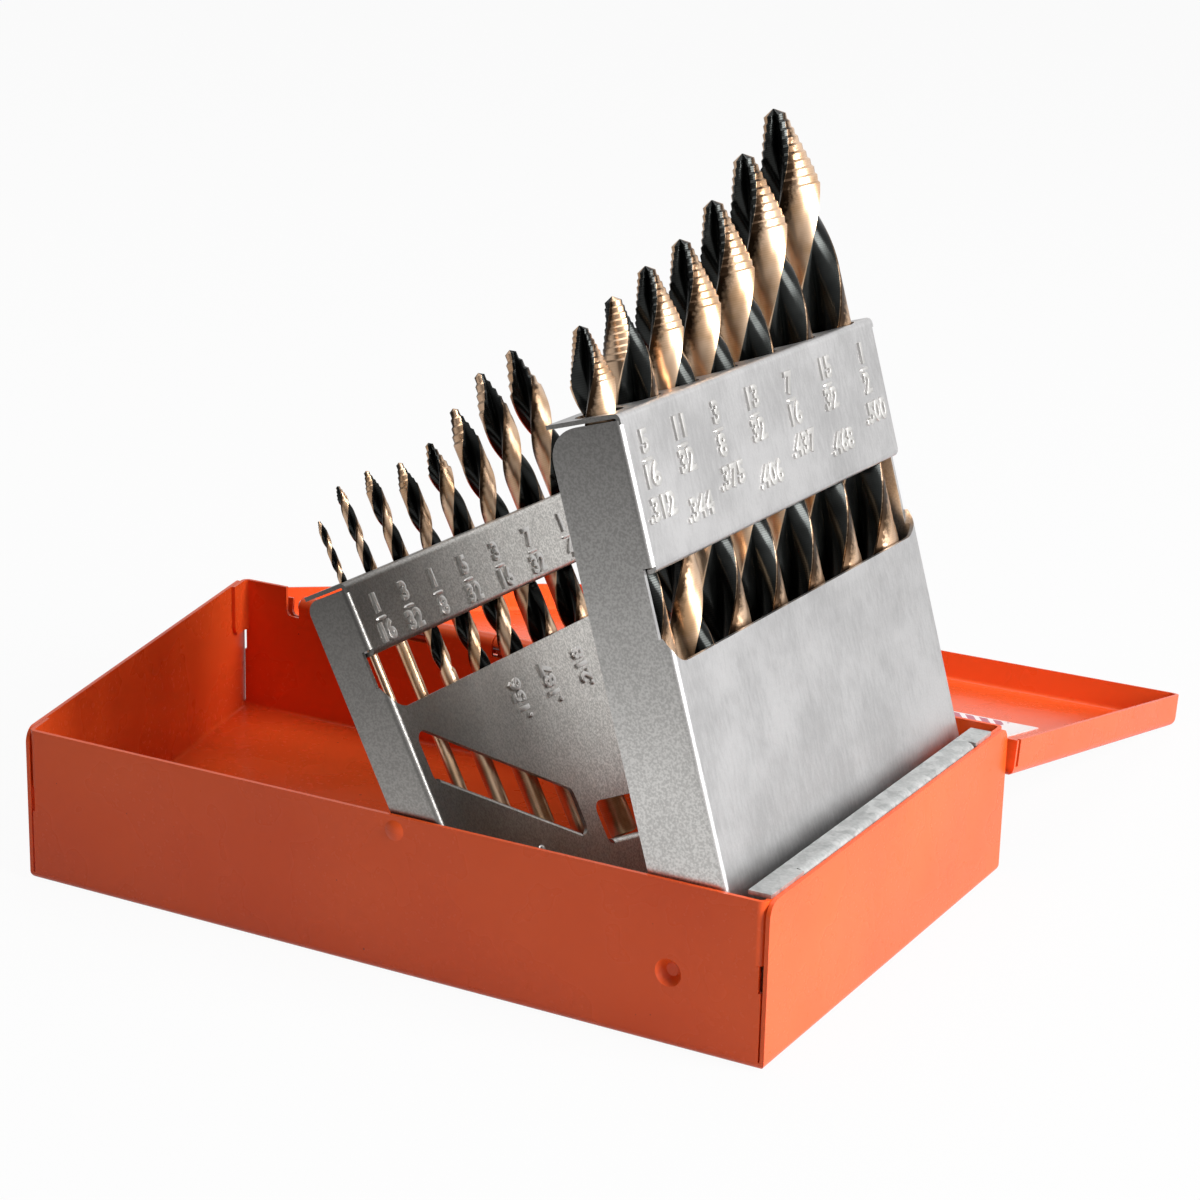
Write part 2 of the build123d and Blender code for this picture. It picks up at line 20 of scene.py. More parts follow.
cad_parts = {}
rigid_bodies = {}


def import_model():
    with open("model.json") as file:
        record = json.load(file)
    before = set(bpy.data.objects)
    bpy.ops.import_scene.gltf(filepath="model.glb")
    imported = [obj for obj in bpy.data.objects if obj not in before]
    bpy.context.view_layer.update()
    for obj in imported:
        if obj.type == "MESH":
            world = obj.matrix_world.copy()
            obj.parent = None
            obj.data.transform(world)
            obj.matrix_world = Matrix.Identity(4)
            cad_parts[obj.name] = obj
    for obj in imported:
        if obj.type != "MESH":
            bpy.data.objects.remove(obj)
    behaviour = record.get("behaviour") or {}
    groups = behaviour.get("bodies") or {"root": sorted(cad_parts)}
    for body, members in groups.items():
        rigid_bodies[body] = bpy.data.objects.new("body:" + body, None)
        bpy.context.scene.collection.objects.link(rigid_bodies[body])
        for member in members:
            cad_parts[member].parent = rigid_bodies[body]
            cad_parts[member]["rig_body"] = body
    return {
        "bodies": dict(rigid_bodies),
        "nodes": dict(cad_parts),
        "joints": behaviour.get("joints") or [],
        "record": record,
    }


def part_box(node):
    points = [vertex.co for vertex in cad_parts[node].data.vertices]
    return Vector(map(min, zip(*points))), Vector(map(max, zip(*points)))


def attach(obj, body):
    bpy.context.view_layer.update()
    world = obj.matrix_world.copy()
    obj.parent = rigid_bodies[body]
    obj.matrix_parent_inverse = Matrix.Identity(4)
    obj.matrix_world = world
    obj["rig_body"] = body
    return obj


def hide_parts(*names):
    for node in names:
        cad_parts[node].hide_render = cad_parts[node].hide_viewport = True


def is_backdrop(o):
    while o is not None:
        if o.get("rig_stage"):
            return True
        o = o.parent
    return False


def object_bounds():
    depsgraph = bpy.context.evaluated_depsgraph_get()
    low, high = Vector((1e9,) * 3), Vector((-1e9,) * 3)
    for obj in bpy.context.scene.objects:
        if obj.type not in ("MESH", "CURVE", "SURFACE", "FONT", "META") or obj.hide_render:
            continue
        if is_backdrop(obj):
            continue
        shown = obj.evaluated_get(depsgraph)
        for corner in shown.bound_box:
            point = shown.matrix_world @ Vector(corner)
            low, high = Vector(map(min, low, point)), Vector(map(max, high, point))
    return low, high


log = logging.getLogger("drill_bit_case")

MM = 0.001
SENSOR_MM = 36.0
WHITE = (1, 1, 1, 1)
NOISE_RANGE = (0.3, 0.7)  # most of a noise texture's values lie in here
COLOUR_MIX_INPUTS = (0, 6, 7)  # the factor and both colours of a mix node set to colours
COLOUR_MIX_RESULT = 2

SEAM_MM = 0.0001  # text points closer than this are one point
TEXT_SHARP_DEGREES = 40.0

Range = tuple[float, float]


class Body(Enum):
    """The moving bodies that carry added pieces."""

    LARGE_RACK = "large_rack"
    SMALL_RACK = "small_rack"


def linear(colour: str) -> tuple[float, float, float, float]:
    """Turn an sRGB hex colour to linear RGBA, by the standard sRGB curve.

    Args:
        colour: six hex digits after a hash.

    Returns:
        Linear red, green and blue, and an alpha of 1.
    """
    values = [int(colour[i : i + 2], 16) / 255 for i in (1, 3, 5)]
    red, green, blue = (v / 12.92 if v <= 0.04045 else ((v + 0.055) / 1.055) ** 2.4 for v in values)
    return (red, green, blue, 1.0)


class NodeGraph:
    """A node tree under construction."""

    def __init__(self, tree: bpy.types.NodeTree) -> None:
        """Build in a node tree.

        Args:
            tree: the tree that gets the nodes.
        """
        self.tree = tree

    def add(self, kind: str, inputs: dict | None = None, **settings: object) -> bpy.types.Node:
        """Add a node, set its properties and fill its inputs.

        Args:
            kind: Blender's name of the node type.
            inputs: input name or index, to a value or to another node's output socket.
            settings: node properties to set.

        Returns:
            The new node.
        """
        node = self.tree.nodes.new(kind)
        for key, value in settings.items():
            setattr(node, key, value)
        for key, value in (inputs or {}).items():
            if isinstance(value, bpy.types.NodeSocket):
                self.tree.links.new(value, node.inputs[key])
            else:
                node.inputs[key].default_value = value
        return node

    def place(self) -> bpy.types.NodeSocket:
        """Return the object coordinates, in metres."""
        return self.add("ShaderNodeTexCoord").outputs["Object"]

    def noise(
        self, size_mm: float, detail: float = 2.0, place: bpy.types.NodeSocket | None = None
    ) -> bpy.types.NodeSocket:
        """Add noise with features of a real size.

        Args:
            size_mm: size of one feature.
            detail: octaves of finer noise.
            place: coordinates to use instead of the plain object coordinates.

        Returns:
            The noise value, about 0.5 in the middle.
        """
        inputs = {"Vector": place or self.place(), "Scale": 1 / (size_mm * MM), "Detail": detail}
        return self.add("ShaderNodeTexNoise", inputs).outputs["Fac"]

    def ramp(
        self, value: bpy.types.NodeSocket, source: Range, low: str, high: str
    ) -> bpy.types.NodeSocket:
        """Turn a value to a colour between two.

        Args:
            value: what to look up.
            source: values at which the first colour ends and the second begins.
            low: hex colour below the range.
            high: hex colour above it.

        Returns:
            The colour.
        """
        node = self.add("ShaderNodeValToRGB", {"Fac": value})
        for element, position, colour in zip(node.color_ramp.elements, source, (low, high)):
            element.position = position
            element.color = linear(colour)
        return node.outputs["Color"]

    def maths(self, operation: str, *values: object) -> bpy.types.NodeSocket:
        """Add a maths node.

        Args:
            operation: Blender's name of the operation.
            values: numbers or sockets, in order.

        Returns:
            The result.
        """
        return self.add("ShaderNodeMath", dict(enumerate(values)), operation=operation).outputs[0]

    def mix(self, share: object, first: object, second: object) -> bpy.types.NodeSocket:
        """Mix two colours.

        Args:
            share: share of the second, from 0 to 1.
            first: colour or socket.
            second: colour or socket.

        Returns:
            The mixed colour.
        """
        inputs = dict(zip(COLOUR_MIX_INPUTS, (share, first, second)))
        return self.add("ShaderNodeMix", inputs, data_type="RGBA").outputs[COLOUR_MIX_RESULT]

    def mix_value(self, share: object, first: object, second: object) -> bpy.types.NodeSocket:
        """Find a number between two.

        Args:
            share: share of the second, from 0 to 1.
            first: number or socket.
            second: number or socket.

        Returns:
            The number between them.
        """
        return self.maths("MULTIPLY_ADD", self.maths("SUBTRACT", second, first), share, first)

    def span(
        self, value: bpy.types.NodeSocket, source: Range, target: Range = (0.0, 1.0)
    ) -> bpy.types.NodeSocket:
        """Map a value from one range to another.

        Args:
            value: what to map.
            source: the range it has.
            target: the range it gets.

        Returns:
            The mapped value, held within its range.
        """
        names = ("From Min", "From Max", "To Min", "To Max")
        inputs = {"Value": value, **dict(zip(names, source + target))}
        return self.add("ShaderNodeMapRange", inputs).outputs["Result"]

    def bump(
        self, height: bpy.types.NodeSocket, strength: float, depth_mm: float
    ) -> bpy.types.NodeSocket:
        """Add a bump.

        Args:
            height: relief from 0 to 1.
            strength: share of the relief that shows.
            depth_mm: depth of the relief.

        Returns:
            The bumped normal.
        """
        inputs = {"Height": height, "Strength": strength, "Distance": depth_mm * MM}
        return self.add("ShaderNodeBump", inputs).outputs["Normal"]


class MaterialTree(NodeGraph):
    """A node material under construction."""

    def __init__(self, name: str) -> None:
        """Start an empty material.

        Args:
            name: the material's name.
        """
        self.material = bpy.data.materials.new(name)
        self.material.use_nodes = True
        super().__init__(self.material.node_tree)
        self.tree.nodes.clear()

    def surface(self, inputs: dict) -> bpy.types.Material:
        """Finish with a principled surface.

        Args:
            inputs: the shader's inputs.

        Returns:
            The finished material.
        """
        shader = self.add("ShaderNodeBsdfPrincipled", inputs)
        self.add("ShaderNodeOutputMaterial", {"Surface": shader.outputs["BSDF"]})
        return self.material


@dataclass(frozen=True)
class AlkydEnamel:
    """Sprayed glossy enamel on steel: orange-red with a soft shine, orange peel and scuffs."""

    name: str = "sprayed_alkyd_enamel"
    colour: str = "#EE5C26"
    deep_colour: str = "#E75421"
    cloud_mm: float = 38.0
    cloud_range: Range = (0.35, 0.65)
    shine_mm: float = 38.0 / 3
    roughness: Range = (0.24, 0.31)
    scuff_mm: float = 1.1
    scuff_range: Range = (0.62, 0.72)
    scuff_roughness: float = 0.16
    chip: str = "#6B1C0C"
    chip_mm: float = 1.9
    chip_from: float = 0.79
    chip_share: float = 0.7
    peel_mm: float = 1.6
    peel_depth_mm: float = 0.02
    peel_share: float = 0.3
    refraction: float = 1.5
    specular: float = 0.28

    def material(self) -> bpy.types.Material:
        """Return the enamel."""
        tree = MaterialTree(self.name)
        clouds = tree.noise(self.cloud_mm)
        colour = tree.ramp(clouds, self.cloud_range, self.deep_colour, self.colour)
        scuffs = tree.span(tree.noise(self.scuff_mm, detail=4.0), self.scuff_range)
        shine = tree.span(tree.noise(self.shine_mm), NOISE_RANGE, self.roughness)
        roughness = tree.maths("MULTIPLY_ADD", scuffs, self.scuff_roughness, shine)
        chips = tree.maths("GREATER_THAN", tree.noise(self.chip_mm), self.chip_from)
        chips = tree.maths("MULTIPLY", chips, self.chip_share)
        peel = tree.noise(self.peel_mm)
        return tree.surface(
            {
                "Base Color": tree.mix(chips, colour, linear(self.chip)),
                "Roughness": roughness,
                "IOR": self.refraction,
                "Specular IOR Level": self.specular,
                "Normal": tree.bump(peel, self.peel_share, self.peel_depth_mm),
            }
        )


@dataclass(frozen=True)
class ZincPlate:
    """Bright zinc on rolled steel: satin faces and mottled side walls, with painted light on the
    side walls and painted shade darkening them towards the top and the faces towards the near end.
    """

    name: str = "zinc_plated_rolled_steel"
    pale: str = "#CCCBCB"
    soft: str = "#BDBCBC"
    # side: painted light, a tone of the side walls' own that stands for the light falling on them
    # differently from the faces
    side: str = "#D8D6D3"
    # dull: the dark of the grain mottle, and also the colour of the painted shade
    dull: str = "#4A4846"
    tone_range: Range = (0.38, 0.58)
    wall_range: Range = (0.5, 0.9)
    face_mottle: float = 0.06
    wall_mottle: float = 0.28
    mottle_range: Range = (0.4, 0.6)
    mottle_roughness: float = 0.06
    # painted shade: how dark the faces get towards the near end and the walls towards the top, and
    # where each starts
    face_painted_shade: float = 0.0
    wall_painted_shade: float = 0.74
    painted_shade_from: float = 0.4
    near_share: float = 0.62
    grain_mm: float = 0.42  # real zinc crystals are finer; drawn this coarse so that they show
    grain_depth_mm: float = 0.02
    grain_share: float = 0.3
    streak_mm: float = 0.8
    streak_length: float = 14.0
    streak_share: float = 0.5
    cloud_mm: float = 16.0
    roughness: Range = (0.29, 0.36)
    metallic: float = 0.95

    def material(self, low: Vector, high: Vector) -> bpy.types.Material:
        """Return the zinc, with painted shade darkening it up the side walls and towards the near
        end of the faces.

        Args:
            low: lowest corner of the rack's box.
            high: highest corner of the rack's box.

        Returns:
            The finished material; a side wall is where the normal is along Y.
        """
        tree = MaterialTree(self.name)
        place = tree.add("ShaderNodeTexCoord")
        normal = tree.add("ShaderNodeSeparateXYZ", {"Vector": place.outputs["Normal"]})
        axes = tree.add("ShaderNodeSeparateXYZ", {"Vector": place.outputs["Object"]})
        wall = tree.span(tree.maths("ABSOLUTE", normal.outputs["Y"]), self.wall_range)
        stretch = {"Vector": place.outputs["Object"], "Scale": (1, 1, 1 / self.streak_length)}
        drawn = tree.add("ShaderNodeMapping", stretch)
        streak = tree.noise(self.streak_mm, place=drawn.outputs["Vector"])
        cloud = tree.noise(self.cloud_mm)
        grain = tree.noise(self.grain_mm, detail=3.0)
        clouded = tree.maths("MULTIPLY", cloud, 1 - self.streak_share)
        tone = tree.maths("ADD", tree.maths("MULTIPLY", streak, self.streak_share), clouded)
        face = tree.ramp(tone, self.tone_range, self.soft, self.pale)
        # painted shade: the walls darken towards the top and the faces towards the near end
        rise = (low.z + self.painted_shade_from * (high.z - low.z), high.z)
        raised = tree.span(axes.outputs["Z"], rise, (0.0, self.wall_painted_shade))
        reach = (low.y, low.y + self.near_share * (high.y - low.y))
        near = tree.span(axes.outputs["Y"], reach, (self.face_painted_shade, 0.0))
        # painted light: the side walls, found by the way their normal points, get their own tone
        colour = tree.mix(wall, face, linear(self.side))
        colour = tree.mix(tree.mix_value(wall, near, raised), colour, linear(self.dull))
        mottle = tree.span(grain, self.mottle_range)
        strength = tree.span(wall, (0.0, 1.0), (self.face_mottle, self.wall_mottle))
        colour = tree.mix(tree.maths("MULTIPLY", mottle, strength), colour, linear(self.dull))
        satin = tree.span(cloud, NOISE_RANGE, self.roughness)
        return tree.surface(
            {
                "Base Color": colour,
                "Metallic": self.metallic,
                "Roughness": tree.maths("MULTIPLY_ADD", mottle, self.mottle_roughness, satin),
                "Normal": tree.bump(grain, self.grain_share, self.grain_depth_mm),
            }
        )


@dataclass(frozen=True)
class GalvanisedSheet:
    """Hot-dip galvanised steel: dull grey crystals, each lighter or darker than the next."""

    name: str = "hot_dip_galvanised_steel"
    pale: str = "#C6C7C6"
    dark: str = "#A5A7A6"
    tone_range: Range = (0.3, 0.68)
    crystal_mm: float = 1.9
    crystal_share: float = 0.3
    frost_mm: float = 0.7
    shine_range: Range = (0.2, 0.8)
    roughness: Range = (0.37, 0.53)
    metallic: float = 0.9

    def material(self) -> bpy.types.Material:
        """Return the galvanised steel."""
        tree = MaterialTree(self.name)
        cells = {"Vector": tree.place(), "Scale": 1 / (self.crystal_mm * MM)}
        crystals = tree.add("ShaderNodeTexVoronoi", cells).outputs["Color"]
        shade = tree.add("ShaderNodeSeparateColor", {"Color": crystals}).outputs["Red"]
        frost = tree.noise(self.frost_mm, detail=4.0)
        frost = tree.maths("MULTIPLY", frost, 1 - self.crystal_share)
        tone = tree.maths("MULTIPLY_ADD", shade, self.crystal_share, frost)
        return tree.surface(
            {
                "Base Color": tree.ramp(tone, self.tone_range, self.dark, self.pale),
                "Metallic": self.metallic,
                "Roughness": tree.span(tone, self.shine_range, self.roughness),
            }
        )


@dataclass(frozen=True)
class DrillSteel:
    """Ground high-speed steel: straw-bronze lands with fine lines, black oxide in the flutes."""

    name: str = "black_and_straw_high_speed_steel"
    land_pale: str = "#E2C1A2"
    land_dark: str = "#C39C76"
    land_range: Range = (0.36, 0.62)
    land_lines: float = 0.06
    oxide: str = "#3A2A1C"
    oxide_range: Range = (0.3, 0.75)
    flute: str = "#171817"
    flute_pale: str = "#353736"
    flute_range: Range = (0.35, 0.72)
    flute_lines: float = 0.22
    flute_clouds: float = 0.8
    edge_range: Range = (0.35, 0.65)
    grinding_mm: float = 0.42
    grinding_depth_mm: float = 0.01
    grinding_share: float = 0.08
    cloud_mm: float = 6.0
    speck_mm: float = 0.8
    speck_share: float = 0.7
    roughness: Range = (0.2, 0.3)
    metallic: float = 0.92

    def material(self) -> bpy.types.Material:
        """Return the steel; the mesh's "land" attribute is 1 on the lands and 0 in the flutes."""
        tree = MaterialTree(self.name)
        land, along, creep = (
            tree.add("ShaderNodeAttribute", attribute_name=name).outputs["Fac"]
            for name in ("land", "along", "tarnish")
        )
        turns = tree.maths("MULTIPLY", along, 2 * math.pi / (self.grinding_mm * MM))
        lines = tree.span(tree.maths("SINE", turns), (-1.0, 1.0))
        clouds = tree.noise(self.cloud_mm, detail=3.0)
        tone = tree.maths("MULTIPLY_ADD", lines, self.land_lines, clouds)
        land_colour = tree.ramp(tone, self.land_range, self.land_dark, self.land_pale)
        creep = tree.maths("SUBTRACT", creep, self.speck_share / 2)
        specks = tree.noise(self.speck_mm, detail=4.0)
        creep = tree.maths("MULTIPLY_ADD", specks, self.speck_share, creep)
        creep = tree.span(creep, self.oxide_range)
        land_colour = tree.mix(creep, land_colour, linear(self.oxide))
        clouds = tree.maths("MULTIPLY", clouds, self.flute_clouds)
        flute_tone = tree.maths("MULTIPLY_ADD", lines, self.flute_lines, clouds)
        flute_colour = tree.ramp(flute_tone, self.flute_range, self.flute, self.flute_pale)
        share = tree.span(land, self.edge_range)
        return tree.surface(
            {
                "Base Color": tree.mix(share, flute_colour, land_colour),
                "Metallic": self.metallic,
                "Roughness": tree.span(share, (0.0, 1.0), self.roughness),
                "Normal": tree.bump(lines, self.grinding_share, self.grinding_depth_mm),
            }
        )


@dataclass(frozen=True)
class DrawnSteel:
    """Bare or plated round steel: even, bright and slightly streaked."""

    name: str
    colour: str = "#B9B9BB"
    dark: str = "#8E8E91"
    tone_range: Range = (0.35, 0.6)
    streak_mm: float = 0.6
    roughness: Range = (0.25, 0.4)

    def material(self) -> bpy.types.Material:
        """Return the steel."""
        tree = MaterialTree(self.name)
        streak = tree.noise(self.streak_mm, detail=3.0)
        return tree.surface(
            {
                "Base Color": tree.ramp(streak, self.tone_range, self.dark, self.colour),
                "Metallic": 1.0,
                "Roughness": tree.span(streak, NOISE_RANGE, self.roughness),
            }
        )


@dataclass(frozen=True)
class PrintedFilm:
    """Printed paper-faced film: white, with a band of slanted red bars along it."""

    name: str = "printed_label_film"
    paper: str = "#F1ECEC"
    ink: str = "#B4586E"
    bar_pitch_mm: float = 3.4
    bar_share: float = 0.6
    bar_lean: float = 0.55
    margin_mm: float = 1.0
    blank_mm: float = 6.5
    roughness: float = 0.35
    refraction: float = 1.46

    def material(self, low: Vector, high: Vector) -> bpy.types.Material:
        """Return the film; the bars repeat along X and lean with Y.

        Args:
            low: lowest corner of the label's box.
            high: highest corner; the bars stop short of it by the blank end and the margin.

        Returns:
            The finished material.
        """
        tree = MaterialTree(self.name)
        axes = tree.add("ShaderNodeSeparateXYZ", {"Vector": tree.place()})
        across, deep = axes.outputs["X"], axes.outputs["Y"]
        slid = tree.maths("MULTIPLY_ADD", deep, self.bar_lean, across)
        phase = tree.maths("FRACT", tree.maths("DIVIDE", slid, self.bar_pitch_mm * MM))
        inked = tree.maths("LESS_THAN", phase, self.bar_share)
        bounds = (
            tree.maths("LESS_THAN", across, high.x - self.blank_mm * MM),
            tree.maths("GREATER_THAN", deep, low.y + self.margin_mm * MM),
            tree.maths("LESS_THAN", deep, high.y - self.margin_mm * MM),
        )
        for bound in bounds:
            inked = tree.maths("MULTIPLY", inked, bound)
        colour = tree.mix(inked, linear(self.paper), linear(self.ink))
        return tree.surface(
            {"Base Color": colour, "Roughness": self.roughness, "IOR": self.refraction}
        )


def dress(obj: bpy.types.Object, material: bpy.types.Material) -> None:
    """Give an object one material.

    Args:
        obj: the object.
        material: its only material.
    """
    obj.data.materials.clear()
    obj.data.materials.append(material)


def mesh_points(obj: bpy.types.Object) -> np.ndarray:
    """Return a mesh's vertices as rows of X, Y and Z.

    Args:
        obj: a mesh object.

    Returns:
        An array of points in metres.
    """
    flat = np.empty(len(obj.data.vertices) * 3)
    obj.data.vertices.foreach_get("co", flat)
    return flat.reshape(-1, 3)


def show(name: str, mesh: bpy.types.Mesh) -> bpy.types.Object:
    """Make an object of a mesh and put it in the scene.

    Args:
        name: the object's name.
        mesh: its mesh.

    Returns:
        The new object.
    """
    obj = bpy.data.objects.new(name, mesh)
    bpy.context.scene.collection.objects.link(obj)
    return obj


def grid_mesh(name: str, points: np.ndarray) -> bpy.types.Object:
    """Make a closed tube-like mesh from rings of points, with its two ends closed by fans.

    Each quad joins a point, its neighbour round the ring, and the same two on the next ring. The
    first and last rings are drawn in to one middle point each.

    Args:
        name: the object's name.
        points: array of rings, points in a ring, and 3.

    Returns:
        The new object, with its faces outwards.
    """
    rings, count = points.shape[:2]
    ring = np.arange(rings - 1)[:, None] * count
    around = np.arange(count)[None, :]
    after = (around + 1) % count
    above = ring + count
    quads = np.stack([ring + around, ring + after, above + after, above + around], axis=-1)
    ends = np.stack([points[0].mean(axis=0), points[-1].mean(axis=0)])
    first, last = rings * count, rings * count + 1
    start = np.stack([after[0], around[0], np.full(count, first)], axis=-1)
    top = (rings - 1) * count
    finish = np.stack([top + around[0], top + after[0], np.full(count, last)], axis=-1)
    vertices = np.concatenate([points.reshape(-1, 3), ends])
    mesh = bpy.data.meshes.new(name)
    faces = quads.reshape(-1, 4).tolist() + start.tolist() + finish.tolist()
    mesh.from_pydata(vertices.tolist(), [], faces)
    mesh.update()
    return show(name, mesh)


def close_seams(mesh: bpy.types.Mesh) -> None:
    """Join points that lie on each other, turn every face outwards and keep its edges sharp.

    Args:
        mesh: a text mesh, whose front, edge and back come apart.
    """
    work = bmesh.new()
    work.from_mesh(mesh)
    bmesh.ops.remove_doubles(work, verts=work.verts, dist=SEAM_MM * MM)
    bmesh.ops.recalc_face_normals(work, faces=work.faces)
    work.to_mesh(mesh)
    work.free()
    mesh.shade_smooth()
    mesh.set_sharp_from_angle(angle=math.radians(TEXT_SHARP_DEGREES))


@dataclass
class TwistDrill:
    """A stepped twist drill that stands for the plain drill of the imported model.

    The section is a function of the angle round the drill: two lands at full radius, each with a
    raised margin at its leading edge, and two flutes that dip to the web. The section turns with
    height, fades to a round shank below, and is held within a stepped cone at the point.

    Fields in radii, diameters and shares are multiples of the drill's own sizes. The flutes' cut
    runs from 0 on the round shank to 1, and where it is below run_out_land the steel looks ground.
    The turn is in radians, and the flutes' length is measured from the tip.
    """

    node: bpy.types.Object
    axis: Vector
    turn: float
    step_count: int
    flute_length: float
    lead_in_diameters: float = 6.2
    land_share: float = 0.46
    land_from: float = 0.9
    web_share: float = 0.2
    flute_rim: float = 0.985
    flute_skew: float = 0.9
    flute_power: float = 1.5
    run_out_radii: float = 1.6
    run_out_land: float = 0.3
    margin_share: float = 0.16
    relief: float = 0.965
    tarnish_share: float = 0.55
    cone_diameters: float = 1.25
    step_rise: float = 0.28
    tip_share: float = 0.35
    point_slope: float = 0.6
    tip_drop: float = 0.05
    tip_flat: float = 0.06
    chamfer_share: float = 0.12
    land_columns: int = 9
    flute_columns: int = 21
    rows_per_turn: int = 110
    fewest_rows: int = 24
    sharp_degrees: float = 25.0
    side: Vector = field(init=False)
    other: Vector = field(init=False)
    base: Vector = field(init=False)
    length: float = field(init=False)
    radius: float = field(init=False)

    def __post_init__(self) -> None:
        """Read the base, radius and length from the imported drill."""
        points = mesh_points(self.node)
        self.side = self.axis.orthogonal().normalized()
        self.other = self.axis.cross(self.side)
        turned = points @ np.array([self.side, self.other, self.axis]).T
        low, high = turned.min(axis=0), turned.max(axis=0)
        across, deep = (low + high)[:2] / 2
        self.base = self.side * across + self.other * deep + self.axis * float(low[2])
        self.length = float(high[2] - low[2])
        self.radius = float((high - low)[0]) / 2

    def lead(self) -> float:
        """Return the height in which the flutes make one turn."""
        return self.lead_in_diameters * 2 * self.radius

    def columns(self) -> tuple[np.ndarray, np.ndarray]:
        """Work out the section.

        Returns:
            The angle of each column, and its radius as a share of the drill's: the lands are at
            the relief, or at 1 on the margin, and a flute dips as a power of its half width.
        """
        land_half = math.pi / 2 * self.land_share
        land = np.linspace(-land_half, land_half, self.land_columns)
        margin = land > land_half - 2 * land_half * self.margin_share
        land_radius = np.where(margin, 1.0, self.relief)
        across = np.linspace(0, 1, self.flute_columns + 2)[1:-1]
        flute = land_half + across * (math.pi - 2 * land_half)
        dip = np.abs(2 * across**self.flute_skew - 1) ** self.flute_power
        flute_radius = self.web_share + (self.flute_rim - self.web_share) * dip
        angles = np.concatenate([land, flute])
        radii = np.concatenate([land_radius, flute_radius])
        return np.concatenate([angles, angles + math.pi]), np.concatenate([radii, radii])

    def tarnish(self) -> np.ndarray:
        """Work out how far the black oxide creeps over each column.

        Returns:
            A value for each column: 1 on a land's trailing edge, 0 past its trailing share.
        """
        across = np.linspace(0, 1, self.land_columns)
        land = np.clip(1 - across / self.tarnish_share, 0, 1)
        side = np.concatenate([land, np.zeros(self.flute_columns)])
        return np.concatenate([side, side])

    def rows(self) -> tuple[np.ndarray, np.ndarray]:
        """Work out the heights of the rings and the envelope's radius at each.

        Returns:
            Heights from the base and radii, with three rings on each step of the point.
        """
        cone = self.cone_diameters * 2 * self.radius
        tip_radius = self.tip_share * self.radius
        tip_height = tip_radius * self.point_slope
        body_top = self.length - cone
        turns = body_top / self.lead()
        body = np.linspace(0, body_top, max(self.fewest_rows, int(turns * self.rows_per_turn)))
        body_radius = np.minimum(self.radius, self.radius * (1 - self.chamfer_share) + body)
        step = np.arange(self.step_count)
        stepped = cone - tip_height
        low = body_top + stepped * step / self.step_count
        high = body_top + stepped * (step + 1) / self.step_count
        width = self.radius + (tip_radius - self.radius) * (step + 1) / self.step_count
        rise = self.step_rise * stepped / self.step_count
        rings = np.stack([low + rise, (low + high) / 2, high], axis=1)
        step_radii = np.repeat(width, rings.shape[1])
        tip = self.length - tip_height * self.tip_drop
        heights = np.concatenate([body, rings.reshape(-1), [tip]])
        radii = np.concatenate([body_radius, step_radii, [tip_radius * self.tip_flat]])
        return heights, radii

    def build(self, material: bpy.types.Material) -> bpy.types.Object:
        """Build the drill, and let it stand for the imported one.

        Args:
            material: the steel.

        Returns:
            The new piece.
        """
        angles, shares = self.columns()
        heights, limits = self.rows()
        start = self.length - self.flute_length
        cut = np.clip((heights - start) / (self.run_out_radii * self.radius), 0, 1)
        cut = (cut * cut * (3 - 2 * cut))[:, None]  # eased at both ends
        section = self.radius * ((1 - cut) + cut * shares[None, :])
        radius = np.minimum(section, limits[:, None])
        twist = 2 * math.pi * (heights[:, None] - self.length) / self.lead()
        turned = angles[None, :] + self.turn + twist
        points = (
            np.array(self.base)[None, None, :]
            + heights[:, None, None] * np.array(self.axis)
            + (radius * np.cos(turned))[..., None] * np.array(self.side)
            + (radius * np.sin(turned))[..., None] * np.array(self.other)
        )
        piece = grid_mesh("fluted_" + self.node.name, points)
        on_land = (shares[None, :] > self.land_from) | (cut < self.run_out_land)
        tarnish = np.broadcast_to(self.tarnish()[None, :] * cut, radius.shape)
        self.write(piece, "land", on_land.astype(float), 1.0)
        self.write(piece, "tarnish", tarnish, 0.0)
        self.write(piece, "along", np.broadcast_to(heights[:, None], radius.shape), self.length)
        piece.data.shade_smooth()
        piece.data.set_sharp_from_angle(angle=math.radians(self.sharp_degrees))
        dress(piece, material)
        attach(piece, self.node["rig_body"])
        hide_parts(self.node.name)
        return piece

    @staticmethod
    def write(piece: bpy.types.Object, name: str, values: np.ndarray, at_ends: float) -> None:
        """Store a value at every point of a grid mesh.

        Args:
            piece: the object.
            name: the attribute's name.
            values: one value for each grid point.
            at_ends: value of the two end points.
        """
        layer = piece.data.attributes.new(name, "FLOAT", "POINT")
        flat = np.concatenate([np.ascontiguousarray(values).reshape(-1), [0.0, at_ends]])
        layer.data.foreach_set("value", flat.astype(np.float32))


@dataclass
class RackPlane:
    """The face of a rack at rest: its pivot, the way up it, and how far out it lies."""

    pivot: Vector
    up: Vector
    face: float

    def matrix(self, height: float, depth: float, on_end: bool) -> Matrix:
        """Place for a text that reads across the face or up it.

        Args:
            height: height up the face from the pivot.
            depth: Y of the text's middle.
            on_end: True if the text reads up the face.

        Returns:
            A matrix whose third axis is the face's outward normal.
        """
        across = Vector((0, 1, 0))
        normal = across.cross(self.up)
        right, top = (self.up, -across) if on_end else (across, self.up)
        origin = self.pivot + self.up * height + normal * self.face
        origin.y = depth
        turn = Matrix((right, top, normal)).transposed().to_4x4()
        return Matrix.Translation(origin) @ turn


